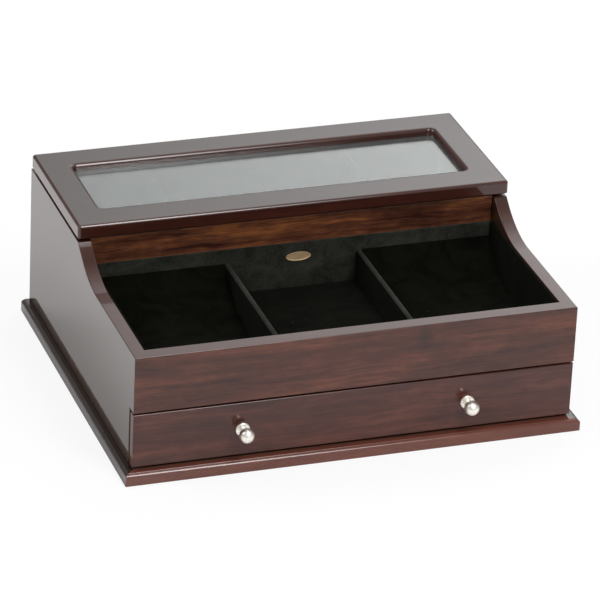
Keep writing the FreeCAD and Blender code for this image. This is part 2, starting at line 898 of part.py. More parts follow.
def hinges():
    """Two butt hinges: the case leaf has the outer two lengths of the barrel, the lid leaf the middle."""
    half = dim.hinge_length / 2
    third = dim.hinge_length / 6
    case_low = dim.case_top - dim.hinge_let_in
    case_high = case_low + dim.hinge_leaf
    lid_high = LID_BASE + dim.hinge_let_in
    lid_low = lid_high - dim.hinge_leaf
    case_screws = []
    lid_screws = []
    for side, centre in hinge_centres():
        outer = [(-half, -third), (third, half)]
        leaf(f"hinge{side}_case_leaf", centre, case_low, case_high, outer, head_up=True)
        leaf(f"hinge{side}_lid_leaf", centre, lid_low, lid_high, [(-third, third)], head_up=False)
        start = centre - half - dim.pin_head_thickness
        length = dim.hinge_length + dim.pin_head_thickness * 2
        pin = [
            rod(f"pin{side}", dim.pin_radius, length, (start, HINGE_Y, HINGE_Z), ALONG_X),
            rod(
                f"pin_head{side}",
                dim.pin_head,
                dim.pin_head_thickness,
                (start, HINGE_Y, HINGE_Z),
                ALONG_X,
            ),
            rod(
                f"pin_end{side}",
                dim.pin_head,
                dim.pin_head_thickness,
                (centre + half, HINGE_Y, HINGE_Z),
                ALONG_X,
            ),
        ]
        keep(fuse(f"hinge_pin{side}", pin), f"hinge{side}_pin")
        for index, x in enumerate(screw_centres(centre)):
            name = f"screw{side}_{index}"
            case_screws.append(hinge_screw("case_" + name, x, case_low, case_high, head_up=True))
            lid_screws.append(hinge_screw("lid_" + name, x, lid_low, lid_high, head_up=False))
    keep(group("CaseScrews", case_screws), "hinge_case_screws")
    keep(group("LidScrews", lid_screws), "hinge_lid_screws")


# The drawer


def knob_centres():
    """The side and the X of each knob."""
    return [("_left", -dim.knob_spacing / 2), ("_right", dim.knob_spacing / 2)]


def drawer_front():
    """The full-width front, bored for the knob screws and grooved for the drawer's bottom."""
    body = new_body("Body_drawer_front", (0, 0, 0))
    face = rectangle((-HALF_WIDTH, HALF_WIDTH), (dim.drawer_front_base, dim.drawer_front_top))
    pad(body, "front_board", "XZ_Plane", [face], dim.drawer_front, level=-FRONT, reverse=True)
    ease(
        body,
        "front_edges",
        dim.drawer_front_edge,
        lambda edge: edge.BoundBox.YMax < FRONT.value + SAME_PLACE,
    )
    groove = rectangle(
        (-DRAWER_INNER_HALF, DRAWER_INNER_HALF), (dim.drawer_bottom_base, DRAWER_FLOOR)
    )
    depth = dim.groove_depth
    pocket(body, "bottom_groove", "XZ_Plane", [groove], depth, -DRAWER_FACE_BACK, reverse=True)
    knob_holes = [
        rod(
            "front_hole" + name,
            dim.knob_screw_hole,
            dim.drawer_front + 2 * PAST,
            (x, FRONT - PAST, dim.knob_height),
            ALONG_Y,
        )
        for name, x in knob_centres()
    ]
    keep(cut("DrawerFront", body, knob_holes), "drawer_front")


def drawer_box():
    """Sides, back and bottom. The bottom is let into grooves all round."""
    height = (dim.case_foot + dim.drawer_run, dim.drawer_wall_top)
    groove_height = (dim.drawer_bottom_base, DRAWER_FLOOR)
    depth = (DRAWER_FACE_BACK, DRAWER_END)
    for label, side in left_and_right("drawer_left_side", "drawer_right_side"):
        limits = sorted((DRAWER_HALF * side, DRAWER_INNER_HALF * side), key=lambda s: s.value)
        edge = DRAWER_INNER_HALF * side
        deep = (DRAWER_INNER_HALF + dim.groove_depth) * side
        slot = sorted((edge, deep), key=lambda s: s.value)
        board = block("Board_" + label, limits, depth, height)
        groove_run = (DRAWER_FACE_BACK, DRAWER_INNER_END + dim.groove_depth)
        groove = block("Groove_" + label, slot, groove_run, groove_height)
        keep(cut("Cut_" + label, board, [groove]), label)
    across = (-DRAWER_INNER_HALF, DRAWER_INNER_HALF)
    board = block("BackBoardOfDrawer", across, (DRAWER_INNER_END, DRAWER_END), height)
    groove = block(
        "GrooveOfDrawerBack",
        across,
        (DRAWER_INNER_END, DRAWER_INNER_END + dim.groove_depth),
        groove_height,
    )
    keep(cut("DrawerBack", board, [groove]), "drawer_back")
    reach = DRAWER_INNER_HALF + dim.groove_depth
    main = block(
        "BottomSheet",
        (-reach, reach),
        (DRAWER_FACE_BACK, DRAWER_INNER_END + dim.groove_depth),
        groove_height,
    )
    tongue = block(
        "BottomTongue",
        across,
        (DRAWER_FACE_BACK - dim.groove_depth, DRAWER_FACE_BACK + PAST),
        groove_height,
    )
    keep(fuse("DrawerBottom", [main, tongue]), "drawer_bottom")


def drawer_linings():
    """Velvet-covered card on the floor and the four walls of the drawer."""
    across = (-DRAWER_INNER_HALF, DRAWER_INNER_HALF)
    depth = (DRAWER_FACE_BACK, DRAWER_INNER_END)
    height = (DRAWER_PAD_TOP, dim.drawer_lining_top)
    thick = dim.drawer_lining
    keep(block("DrawerPad", across, depth, (DRAWER_FLOOR, DRAWER_PAD_TOP)), "drawer_lining_floor")
    front = block("DrawerLiningFront", across, (depth[0], depth[0] + thick), height)
    holes = [
        rod(
            "lining_hole" + name,
            dim.knob_screw_clearance,
            thick + 2 * PAST,
            (x, DRAWER_FACE_BACK - PAST, dim.knob_height),
            ALONG_Y,
        )
        for name, x in knob_centres()
    ]
    keep(cut("DrawerLiningFrontCut", front, holes), "drawer_lining_front")
    keep(
        block("DrawerLiningBack", across, (depth[1] - thick, depth[1]), height),
        "drawer_lining_back",
    )
    inner_depth = (depth[0] + thick, depth[1] - thick)
    edge = DRAWER_INNER_HALF
    keep(
        block("DrawerLiningLeft", (-edge, -edge + thick), inner_depth, height),
        "drawer_lining_left",
    )
    keep(
        block("DrawerLiningRight", (edge - thick, edge), inner_depth, height),
        "drawer_lining_right",
    )


def knobs():
    """Turned knobs: a flange, a short neck and a ball, with a screw from inside the drawer front."""
    ball_radius = dim.knob_ball_radius
    neck = dim.knob_neck_radius
    ball_start = dim.knob_ball_centre - root(ball_radius * ball_radius - neck * neck)
    thread = dim.knob_screw_radius + dim.knob_thread_play
    flange = dim.knob_flange_radius
    shoulder = flange - dim.knob_flange_round
    hollow = dim.knob_neck_end - dim.knob_flange
    section = [
        (thread, 0),
        (flange, 0),
        (flange, -(dim.knob_flange - dim.knob_flange_round), dim.knob_flange_round, -1),
        (shoulder, -dim.knob_flange, hollow, 1),
        (neck, -dim.knob_neck_end),
        (neck, -ball_start, ball_radius, -1),
        (0, -(dim.knob_ball_centre + ball_radius)),
        (0, -dim.knob_thread_depth),
        (thread, -dim.knob_thread_depth),
    ]
    screws = []
    for name, x in knob_centres():
        body = new_body("Body_knob" + name, (x, FRONT, dim.knob_height))
        turned = body.newObject("PartDesign::Revolution", "knob_turning" + name)
        turned.Profile = new_sketch(body, "knob_section" + name, "XY_Plane", [section])
        turned.ReferenceAxis = (turned.Profile[0], ["V_Axis"])
        turned.Angle = 360
        doc.recompute()
        keep(body, "knob" + name)
        place = (x, FRONT - dim.knob_screw_reach, dim.knob_height)
        shank_length = dim.knob_screw_reach + dim.drawer_front
        shank = rod("knob_shank" + name, dim.knob_screw_radius, shank_length, place, ALONG_Y)
        head = rod(
            "knob_screw_head" + name,
            dim.knob_screw_head,
            dim.knob_screw_head_thickness,
            (x, DRAWER_FACE_BACK, dim.knob_height),
            ALONG_Y,
        )
        screws.append(fuse("knob_screw" + name, [shank, head]))
    keep(group("KnobScrews", screws), "knob_screws")


base()
side_panels()
front_rail()
inner_boards()
back_panel()
tray_linings()
tray_dividers()
coved_liners()
tray_floor_pad()
badge()
display_compartment()
lid_frame()
glazing()
lid_bumpers()
hinges()
drawer_front()
drawer_box()
drawer_linings()
knobs()
doc.recompute()

# Nothing is written unless every object is sound

for thing in doc.Objects:
    if any(state in ("Invalid", "Error") for state in thing.State):
        raise RuntimeError(f"{thing.Name} failed: {thing.State}")
for piece in pieces:
    if piece.Shape.isNull() or not piece.Shape.isValid() or not piece.Shape.Solids:
        raise RuntimeError(f"{piece.Label} has no sound solid")
for piece in pieces:
    piece.Shape.exportStep(f"parts/{piece.Label}.step")
print(f"{len(pieces)} sub-parts written")
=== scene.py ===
import bmesh
import bpy
import math
from mathutils import Matrix, Quaternion, Vector


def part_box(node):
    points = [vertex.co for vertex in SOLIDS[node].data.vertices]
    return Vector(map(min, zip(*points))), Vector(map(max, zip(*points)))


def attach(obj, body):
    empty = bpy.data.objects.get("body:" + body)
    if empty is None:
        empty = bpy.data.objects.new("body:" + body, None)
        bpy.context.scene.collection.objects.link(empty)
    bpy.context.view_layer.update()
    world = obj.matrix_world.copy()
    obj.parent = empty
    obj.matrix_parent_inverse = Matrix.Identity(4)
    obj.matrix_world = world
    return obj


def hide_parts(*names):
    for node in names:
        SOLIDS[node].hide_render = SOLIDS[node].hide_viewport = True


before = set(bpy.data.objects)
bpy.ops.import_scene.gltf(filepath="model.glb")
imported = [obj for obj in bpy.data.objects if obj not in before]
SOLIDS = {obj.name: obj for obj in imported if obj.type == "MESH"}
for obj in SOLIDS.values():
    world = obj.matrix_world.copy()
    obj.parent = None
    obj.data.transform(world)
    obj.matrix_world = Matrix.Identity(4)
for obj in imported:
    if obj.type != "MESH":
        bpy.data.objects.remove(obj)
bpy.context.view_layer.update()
MM = 0.001


# Colour and nodes


def colour(hex_code):
    """An sRGB hex colour as the linear RGBA that a shader wants."""
    shares = [int(hex_code[i:i + 2], 16) / 255 for i in (1, 3, 5)]
    return (*[s / 12.92 if s <= 0.04045 else ((s + 0.055) / 1.055) ** 2.4 for s in shares], 1)


def put(tree, kind, feeds=None, stops=(), **settings):
    """Adds one node: its settings, its colour stops, and a value or a link for each input named."""
    node = tree.nodes.new("ShaderNode" + kind)
    for name, value in settings.items():
        setattr(node, name, value)
    for number, (place, tone) in enumerate(stops):
        ramp = node.color_ramp.elements
        stop = ramp[number] if number < 2 else ramp.new(place)
        stop.position, stop.color = place, colour(tone)
    for name, value in (feeds or {}).items():
        if isinstance(value, bpy.types.NodeSocket):
            tree.links.new(value, node.inputs[name])
        else:
            node.inputs[name].default_value = value
    return node


def new_finish(name, **surface):
    """A material with its Principled shader, whose plain settings are given by socket name."""
    finish = bpy.data.materials.new(name)
    finish.use_nodes = True
    shader = finish.node_tree.nodes["Principled BSDF"]
    for socket, value in surface.items():
        shader.inputs[socket.replace("_", " ")].default_value = value
    return finish, finish.node_tree, shader


# Finishes

ALONG = {"x": (0, 0, 0), "y": (0, 0, math.pi / 2), "z": (0, math.pi / 2, 0)}


def lacquered_mahogany(name, along, tones, figure, offset=(0, 0, 0), knot=None, pores=0.4, lacquer=1.0):
    """Mahogany veneer, stained dark and polished under clear lacquer: brown-red ribbons and short
    dark pores down in the wood, and a hard mirror gloss with a faint orange peel on top. The tones
    run from dark to warm, figure is the contrast of the grain, and lacquer the share of the gloss."""
    finish, tree, wood = new_finish(
        name, Roughness=0.5, Coat_Weight=lacquer, Coat_Roughness=0.06, Coat_IOR=1.55)
    wood.inputs["Specular IOR Level"].default_value = 0.1
    dark, middle, warm = tones
    spot = put(tree, "TexCoord").outputs["Object"]
    turned = put(tree, "Mapping", {"Vector": spot, "Rotation": ALONG[along], "Location": offset})
    # the grain wanders a few millimetres off its line over a hand's width
    sway = put(tree, "TexNoise", {"Vector": put(tree, "Mapping", {
        "Vector": turned.outputs[0], "Scale": (14, 30, 30)}).outputs[0], "Scale": 1, "Detail": 2})
    swayed = put(tree, "VectorMath", {0: sway.outputs["Color"], 1: (0.5, 0.5, 0.5)}, operation="SUBTRACT")
    bent = put(tree, "VectorMath", {
        0: swayed.outputs[0], 1: (0, 0.008, 0.008), 2: turned.outputs[0]}, operation="MULTIPLY_ADD")

    def grain(length, width, detail, rough=0.55):
        """Noise drawn out along the grain: one feature is about length by width, in millimetres."""
        run = put(tree, "Mapping", {
            "Vector": bent.outputs[0], "Scale": (1000 / length, 1000 / width, 1000 / width)})
        return put(tree, "TexNoise", {
            "Vector": run.outputs[0], "Scale": 1, "Detail": detail, "Roughness": rough}).outputs[0]

    ribbons = grain(110, 6, 3)
    streaks = grain(34, 1.2, 5, 0.7)
    clouds = grain(60, 14, 2)
    mottle = grain(9, 5, 1)
    tone = put(tree, "Math", {0: ribbons, 1: 0.48, 2: 0.20}, operation="MULTIPLY_ADD")
    tone = put(tree, "Math", {0: streaks, 1: 0.42, 2: tone.outputs[0]}, operation="MULTIPLY_ADD")
    tone = put(tree, "Math", {0: clouds, 1: 0.30, 2: tone.outputs[0]}, operation="MULTIPLY_ADD")
    tone = put(tree, "Math", {0: mottle, 1: 0.12, 2: tone.outputs[0]}, operation="MULTIPLY_ADD")
    spread = put(tree, "MapRange", {
        "Value": tone.outputs[0], "From Min": 0.86 - 0.2 / figure, "From Max": 0.86 + 0.2 / figure})
    stain = put(tree, "ValToRGB", {"Fac": spread.outputs[0]}, stops=[(0.0, dark), (1.0, warm), (0.5, middle)])
    paint = stain.outputs[0]
    # open pores, drawn about twice as coarse as real ones so that they show
    pits = put(tree, "MapRange", {
        "Value": grain(9, 0.45, 2), "From Min": 0.54, "From Max": 0.74, "To Min": 0, "To Max": pores})
    paint = put(tree, "Mix", {0: pits.outputs[0], 6: paint, 7: colour(dark)}, data_type="RGBA").outputs[2]
    if knot:
        # a soft dark smudge where a pin knot lies under the veneer
        away = put(tree, "VectorMath", {0: spot, 1: knot}, operation="SUBTRACT")
        away = put(tree, "VectorMath", {0: away.outputs[0], 1: (190, 0, 110)}, operation="MULTIPLY")
        reach = put(tree, "VectorMath", {0: away.outputs[0]}, operation="LENGTH")
        shade = put(tree, "MapRange", {
            "Value": reach.outputs["Value"], "From Min": 0.2, "From Max": 1.3, "To Min": 0.85, "To Max": 0})
        paint = put(tree, "Mix", {
            0: shade.outputs[0], 6: paint, 7: colour(dark)}, data_type="RGBA").outputs[2]
    tree.links.new(paint, wood.inputs["Base Color"])
    # orange peel about 2 mm across, a few microns deep
    peel = put(tree, "TexNoise", {"Vector": spot, "Scale": 420, "Detail": 1})
    skin = put(tree, "Bump", {"Height": peel.outputs[0], "Strength": 0.06, "Distance": 0.0002})
    tree.links.new(skin.outputs[0], wood.inputs["Coat Normal"])
    return finish


def velvet(name, pile, rubbed, bloom=0.12, lint=True):
    """Cotton velvet glued over card: nearly black, with a grey bloom where the pile leans or is
    rubbed, and a few specks of lint."""
    finish, tree, cloth = new_finish(name, Roughness=1.0, Sheen_Weight=bloom, Sheen_Roughness=0.45)
    cloth.inputs["Specular IOR Level"].default_value = 0.02
    spot = put(tree, "TexCoord").outputs["Object"]
    # strokes left in the nap, about 20 mm across
    strokes = put(tree, "TexNoise", {"Vector": put(tree, "Mapping", {
        "Vector": spot, "Scale": (45, 60, 45)}).outputs[0], "Scale": 1, "Detail": 4, "Roughness": 0.6,
        "Distortion": 1.2})
    # tufts about 0.8 mm across, coarser than real pile so that they show
    tufts = put(tree, "TexNoise", {"Vector": spot, "Scale": 1300, "Detail": 2, "Roughness": 0.7})
    nap = put(tree, "Math", {0: strokes.outputs[0], 1: 0.72, 2: put(tree, "Math", {
        0: tufts.outputs[0], 1: 0.5}, operation="MULTIPLY").outputs[0]}, operation="MULTIPLY_ADD")
    paint = put(tree, "ValToRGB", {"Fac": nap.outputs[0]}, stops=[(0.48, pile), (0.78, rubbed)]).outputs[0]
    if lint:
        specks = put(tree, "TexVoronoi", {"Vector": spot, "Scale": 90})
        speck = put(tree, "MapRange", {
            "Value": specks.outputs["Distance"], "From Min": 0.018, "From Max": 0.03,
            "To Min": 0.5, "To Max": 0})
        paint = put(tree, "Mix", {
            0: speck.outputs[0], 6: paint, 7: colour("#8A8880")}, data_type="RGBA").outputs[2]
    tree.links.new(paint, cloth.inputs["Base Color"])
    tree.links.new(put(tree, "Bump", {
        "Height": tufts.outputs[0], "Strength": 0.5, "Distance": 0.0003}).outputs[0], cloth.inputs["Normal"])
    return finish


def plain_wood(name, tones, along):
    """Stained poplar of the inside boards: plain, close grain under a thin matt sealer."""
    finish, tree, wood = new_finish(name, Roughness=0.55)
    spot = put(tree, "TexCoord").outputs["Object"]
    turned = put(tree, "Mapping", {"Vector": spot, "Rotation": ALONG[along]})
    lines = put(tree, "TexNoise", {"Vector": put(tree, "Mapping", {
        "Vector": turned.outputs[0], "Scale": (16, 450, 450)}).outputs[0], "Scale": 1, "Detail": 4})
    tree.links.new(put(tree, "ValToRGB", {"Fac": lines.outputs[0]}, stops=[
        (0.3, tones[0]), (0.7, tones[1])]).outputs[0], wood.inputs["Base Color"])
    tree.links.new(put(tree, "Bump", {
        "Height": lines.outputs[0], "Strength": 0.15, "Distance": 0.0003}).outputs[0], wood.inputs["Normal"])
    return finish


def felt(name, tones):
    """Wool felt: matt, with a fuzzy tangle of fibres about a millimetre long."""
    finish, tree, cloth = new_finish(name, Roughness=1.0, Sheen_Weight=0.2)
    spot = put(tree, "TexCoord").outputs["Object"]
    fuzz = put(tree, "TexNoise", {
        "Vector": spot, "Scale": 900, "Detail": 5, "Roughness": 0.75, "Distortion": 2})
    tree.links.new(put(tree, "ValToRGB", {"Fac": fuzz.outputs[0]}, stops=[
        (0.3, tones[0]), (0.7, tones[1])]).outputs[0], cloth.inputs["Base Color"])
    tree.links.new(put(tree, "Bump", {
        "Height": fuzz.outputs[0], "Strength": 0.6, "Distance": 0.0004}).outputs[0], cloth.inputs["Normal"])
    return finish


def metal(name, tones, roughness, brush, smudge=0.08, shine=1.0):
    """Plated or solid metal, finished with fine abrasive: tiny scratches along one way break up the
    highlight, and the plating dulls a little in clouds. Shine is lower where lacquer covers it."""
    finish, tree, plate = new_finish(name, Metallic=shine)
    spot = put(tree, "TexCoord").outputs["Object"]
    hair = put(tree, "TexNoise", {"Vector": put(tree, "Mapping", {
        "Vector": spot, "Scale": brush}).outputs[0], "Scale": 1, "Detail": 3, "Roughness": 0.6})
    cloud = put(tree, "TexNoise", {"Vector": spot, "Scale": 160, "Detail": 2})
    tree.links.new(put(tree, "ValToRGB", {"Fac": cloud.outputs[0]}, stops=[
        (0.3, tones[0]), (0.7, tones[1])]).outputs[0], plate.inputs["Base Color"])
    tree.links.new(put(tree, "MapRange", {
        "Value": hair.outputs[0], "From Min": 0.3, "From Max": 0.7, "To Min": roughness - smudge,
        "To Max": roughness + smudge}).outputs[0], plate.inputs["Roughness"])
    tree.links.new(put(tree, "Bump", {
        "Height": hair.outputs[0], "Strength": 0.08, "Distance": 0.0001}).outputs[0], plate.inputs["Normal"])
    return finish


def window_glass(name):
    """Float glass, clear with a faint green-grey body, under a thin film of dust and handling that
    veils whatever is behind it."""
    finish, tree, glass = new_finish(name, IOR=1.65, Transmission_Weight=0.95, Roughness=0.0)
    spot = put(tree, "TexCoord").outputs["Object"]
    dust = put(tree, "TexNoise", {"Vector": spot, "Scale": 55, "Detail": 6, "Roughness": 0.7})
    tree.links.new(put(tree, "ValToRGB", {"Fac": dust.outputs[0]}, stops=[
        (0.35, "#F0F8F6"), (0.75, "#E4EEEC")]).outputs[0], glass.inputs["Base Color"])
    tree.links.new(put(tree, "MapRange", {
        "Value": dust.outputs[0], "From Min": 0.5, "From Max": 0.8, "To Min": 0.0, "To Max": 0.05,
    }).outputs[0], glass.inputs["Roughness"])
    return finish


VENEER = ("#2C120B", "#4A2318", "#683826")
DRAWER_VENEER = ("#2B120C", "#45211A", "#603325")
RISER_VENEER = ("#301610", "#5A3524", "#8C542E")
SIDE_VENEER = ("#2A150D", "#332014", "#402817")
EDGES = ("#28110B", "#391B13", "#48271B")
SOLID = ("#2A110B", "#3A1A12", "#4A261B")
LID_SHADED_TOP = ("#20140F", "#291A14", "#35231B")
FOOT = ("#50291F", "#673A2E", "#7C4838")
FOOT_SHADED_SIDE = ("#1C120E", "#281A15", "#33221B")
POPLAR = ("#3A2218", "#4C2E20")
FINISH = {
    "rail": lacquered_mahogany(
        "lacquered_mahogany_rail", "x", VENEER, 1.2, knot=(0.045, -0.1216, 0.0800), lacquer=0.75),
    "drawer": lacquered_mahogany(
        "lacquered_mahogany_drawer", "x", DRAWER_VENEER, 1.15, offset=(0.31, 0.07, 0.13), lacquer=0.75),
    "riser": lacquered_mahogany(
        "lacquered_mahogany_riser", "x", RISER_VENEER, 1.5, offset=(0.57, 0.2, 0.4)),
    "sides": lacquered_mahogany("lacquered_mahogany_sides", "y", SIDE_VENEER, 0.5, pores=0.1),
    # a darker stain of its own for the faces turned up on the side panels and the rail: painted shade
    "edges": lacquered_mahogany("lacquered_mahogany_shaded_tops", "x", EDGES, 0.6, pores=0.2, lacquer=0.85),
    "back": lacquered_mahogany("lacquered_mahogany_back", "x", VENEER, 1.0, offset=(0.9, 0.5, 0.2)),
    "lid": lacquered_mahogany("lacquered_mahogany_lid", "x", SOLID, 0.6, pores=0.2),
    # a darker, less red copy of the lid's stain for its top face only: painted shade
    "lid_shaded_top": lacquered_mahogany("lacquered_mahogany_lid_shaded_top", "x", LID_SHADED_TOP, 0.6, pores=0.2),
    "plinth": lacquered_mahogany("lacquered_mahogany_plinth", "x", FOOT, 0.7, pores=0.3),
    # a far darker copy of the front foot moulding's stain for the side mouldings: painted shade
    "plinth_shaded_side": lacquered_mahogany("lacquered_mahogany_plinth_shaded_side", "y", FOOT_SHADED_SIDE, 0.7, pores=0.3),
    "inner_x": plain_wood("stained_poplar_across", POPLAR, "x"),
    "inner_y": plain_wood("stained_poplar_lengthwise", POPLAR, "y"),
    # the lighter copy of the velvet, on the tray's back lining and the display linings: painted light against
    # the darker copy below
    "velvet": velvet("black_velvet", "#1C1D19", "#36372F"),
    # a much darker copy of the same velvet for the tray's floors, coves, front and side linings and the
    # divider walls: painted shade
    "shaded_velvet": velvet("black_velvet_painted_shade", "#060704", "#10110B", bloom=0.03),
    # a lighter copy of the velvet for the divider faces turned up: painted light
    "lit_top_velvet": velvet("black_velvet_painted_light_top", "#161711", "#2C2D27"),
    "felt": felt("brown_felt", ("#1E1613", "#2E231E")),
    "glass": window_glass("float_glass"),
    "nickel": metal("satin_nickel", ("#FFFAEC", "#FFFCF4"), 0.38, (600, 60, 600)),
    "brass": metal("lacquered_brass", ("#B1966E", "#C0A781"), 0.45, (60, 900, 900), shine=0.3),
    "steel": metal("brass_plated_steel", ("#B79A5E", "#C9AE74"), 0.28, (40, 700, 700)),
}


# Measures of the finishing work: lengths in millimetres, then shares and a power

CASE_EDGE = 0.7
COVE_CARD = 1.5
PAD_DRAWN_IN = 0.35
NECK_AT_BALL = 2.55
# the part of a cover's thickness that its rounded edge takes
COVER_ROUNDING = 0.35
DIVIDER_ROUNDING = 0.42
# how squarely a pad fills its corners before its edge falls away
PAD_SQUARENESS = 6


# Ways of modelling


def put_down():
    """Leaves edit mode with nothing selected."""
    if bpy.context.mode != "OBJECT":
        bpy.ops.object.mode_set(mode="OBJECT")
    bpy.ops.object.select_all(action="DESELECT")


def take_up(piece, editing=False):
    """Makes this the one selected piece, in edit mode if asked."""
    put_down()
    piece.select_set(True)
    bpy.context.view_layer.objects.active = piece
    if editing:
        bpy.ops.object.mode_set(mode="EDIT")


def choose(kind, test):
    """In edit mode, selects the verts, edges or faces whose middle (mm) and direction pass the test."""
    bpy.ops.mesh.select_mode(type={"verts": "VERT", "edges": "EDGE", "faces": "FACE"}[kind])
    bpy.ops.mesh.select_all(action="DESELECT")
    mesh = bmesh.from_edit_mesh(bpy.context.object.data)
    for part in getattr(mesh, kind):
        if kind == "edges":
            middle, way = (part.verts[0].co + part.verts[1].co) / 2, part.verts[1].co - part.verts[0].co
        elif kind == "faces":
            middle, way = part.calc_center_median(), part.normal
        else:
            middle, way = part.co, part.normal
        part.select_set(bool(test(middle / MM, way.normalized())))
    bmesh.update_edit_mesh(bpy.context.object.data)


def work(piece, kind, **settings):
    """Puts a modifier on a piece and applies it."""
    take_up(piece)
    tool = piece.modifiers.new(kind.lower(), kind)
    for name, value in settings.items():
        setattr(tool, name, value)
    bpy.ops.object.modifier_apply(modifier=tool.name)


def smooth(piece, angle=32):
    """Smooth shading over gentle turns, with flat faces kept flat."""
    take_up(piece)
    bpy.ops.object.shade_smooth_by_angle(angle=math.radians(angle))
    work(piece, "WEIGHTED_NORMAL", weight=60, keep_sharp=True)


def ease_edges(piece, width, segments=3, angle=40):
    """Takes the sharpness off every hard edge, as sandpaper does."""
    work(piece, "BEVEL", width=width * MM, segments=segments, limit_method="ANGLE",
         angle_limit=math.radians(angle), use_clamp_overlap=True, harden_normals=False)


def turn_right_way(piece):
    """Merges doubles and points all faces outwards."""
    take_up(piece, editing=True)
    bpy.ops.mesh.select_all(action="SELECT")
    bpy.ops.mesh.remove_doubles(threshold=0.001 * MM)
    bpy.ops.mesh.normals_make_consistent(inside=False)
    put_down()


def settle(name):
    """Names the new primitive and moves its place and size into its mesh."""
    piece = bpy.context.object
    piece.name = piece.data.name = name
    bpy.ops.object.transform_apply(location=True, rotation=True, scale=True)
    return piece


def blank(name, low, high):
    """A rectangular blank between two corners in metres, to be shaped further."""
    put_down()
    low, high = Vector(low), Vector(high)
    bpy.ops.mesh.primitive_cube_add(size=1, location=(low + high) / 2, scale=high - low)
    return settle(name)


def from_solid(name, *nodes):
    """A merged copy of one or more CAD solids, with its flat faces whole again."""
    copies = []
    put_down()
    for node in nodes:
        copy = bpy.data.objects.new(name, SOLIDS[node].data.copy())
        copy.data.name = name
        copy.data.materials.clear()
        bpy.context.scene.collection.objects.link(copy)
        copies.append(copy)
    for copy in copies:
        copy.select_set(True)
    bpy.context.view_layer.objects.active = copies[0]
    if len(copies) > 1:
        bpy.ops.object.join()
    piece = copies[0]
    piece.name = name
    if piece.data.has_custom_normals:
        bpy.ops.mesh.customdata_custom_splitnormals_clear()
    take_up(piece, editing=True)
    bpy.ops.mesh.select_all(action="SELECT")
    bpy.ops.mesh.remove_doubles(threshold=0.001 * MM)
    bpy.ops.mesh.dissolve_limited(angle_limit=math.radians(0.3))
    put_down()
    return piece


def finished(piece, finish, body, slot, *nodes):
    """Gives a piece its finish, its body and the CAD nodes it stands for. The slot argument is not used."""
    put_down()
    piece.data.materials.clear()
    piece.data.materials.append(FINISH[finish])
    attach(piece, body)
    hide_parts(*nodes)
    return piece


def second_finish(piece, finish, test):
    """Gives the faces whose direction passes the test another finish than the rest of the piece."""
    piece.data.materials.append(FINISH[finish])
    for face in piece.data.polygons:
        if test(face.normal):
            face.material_index = 1


# The case


def saw_off(piece, point, towards):
    """Saws a piece through at a plane, drops what lies towards the given direction and closes the cut."""
    take_up(piece, editing=True)
    bpy.ops.mesh.select_all(action="SELECT")
    bpy.ops.mesh.bisect(plane_co=point, plane_no=towards, use_fill=True, clear_outer=True)
    put_down()


def copied(piece, name):
    """A second piece with its own mesh."""
    twin = piece.copy()
    twin.data = piece.data.copy()
    twin.name = twin.data.name = name
    bpy.context.scene.collection.objects.link(twin)
    return twin


def case_shell():
    """The front rail and both sides: glued up as one, their edges rounded together over the mitres,
    then sawn apart again so that each keeps its own grain."""
    shell = from_solid("case_shell", "front_rail")
    for side in ("left_side_panel", "right_side_panel"):
        other = from_solid("side_blank", side)
        work(shell, "BOOLEAN", operation="UNION", object=other, solver="EXACT")
        bpy.data.objects.remove(other)
    take_up(shell, editing=True)
    bpy.ops.mesh.select_all(action="SELECT")
    bpy.ops.mesh.remove_doubles(threshold=0.002 * MM)
    bpy.ops.mesh.dissolve_limited(angle_limit=math.radians(0.3))
    put_down()
    ease_edges(shell, CASE_EDGE)
    # each mitre runs from the front corner to where the rail's back meets the side's inner face
    low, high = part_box("front_rail")
    panel = high.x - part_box("right_side_panel")[0].x
    rail = copied(shell, "upper_front_rail")
    for side, name, node in ((-1, "case_left_side", "left_side_panel"),
                             (1, "case_right_side", "right_side_panel")):
        corner = Vector((high.x * side, low.y, low.z))
        behind_mitre = Vector(((high.y - low.y) * side, panel, 0)).normalized()
        saw_off(rail, corner, behind_mitre)
        half = copied(shell, name)
        saw_off(half, (0, 0, 0), (-side, 0, 0))
        saw_off(half, corner, -behind_mitre)
        smooth(half)
        finished(half, "sides", "case", "lacquered_wood", node)
        # the faces turned up take the darker stain: painted shade
        second_finish(half, "edges", lambda way: way.z > 0.2)
    bpy.data.objects.remove(shell)
    smooth(rail)
    finished(rail, "rail", "case", "lacquered_wood", "front_rail")
    # the faces turned up take the darker stain: painted shade
    second_finish(rail, "edges", lambda way: way.z > 0.5)


def case_boards():
    """The foot, the back, the riser and the boards inside, each with sanded edges."""
    for name, node, width, finish, slot in (
        ("foot_moulding_front", "plinth_front", 0.15, "plinth", "lacquered_wood"),
        # the side mouldings take the darker copy of the foot's stain: painted shade
        ("foot_moulding_left", "plinth_left", 0.15, "plinth_shaded_side", "lacquered_wood"),
        ("foot_moulding_right", "plinth_right", 0.15, "plinth_shaded_side", "lacquered_wood"),
        ("case_back", "back_panel", 0.4, "back", "lacquered_wood"),
        ("tray_riser", "riser_panel", 0.6, "riser", "lacquered_wood"),
        ("bottom_board", "base_board", 0.4, "inner_x", "inner_wood"),
        ("tray_floor_board", "tray_board", 0.3, "inner_x", "inner_wood"),
        ("foot_felt", "base_felt", 0.3, "felt", "felt"),
    ):
        board = from_solid(name, node)
        ease_edges(board, width, segments=2)
        smooth(board)
        finished(board, finish, "case", slot, node)


# The lining


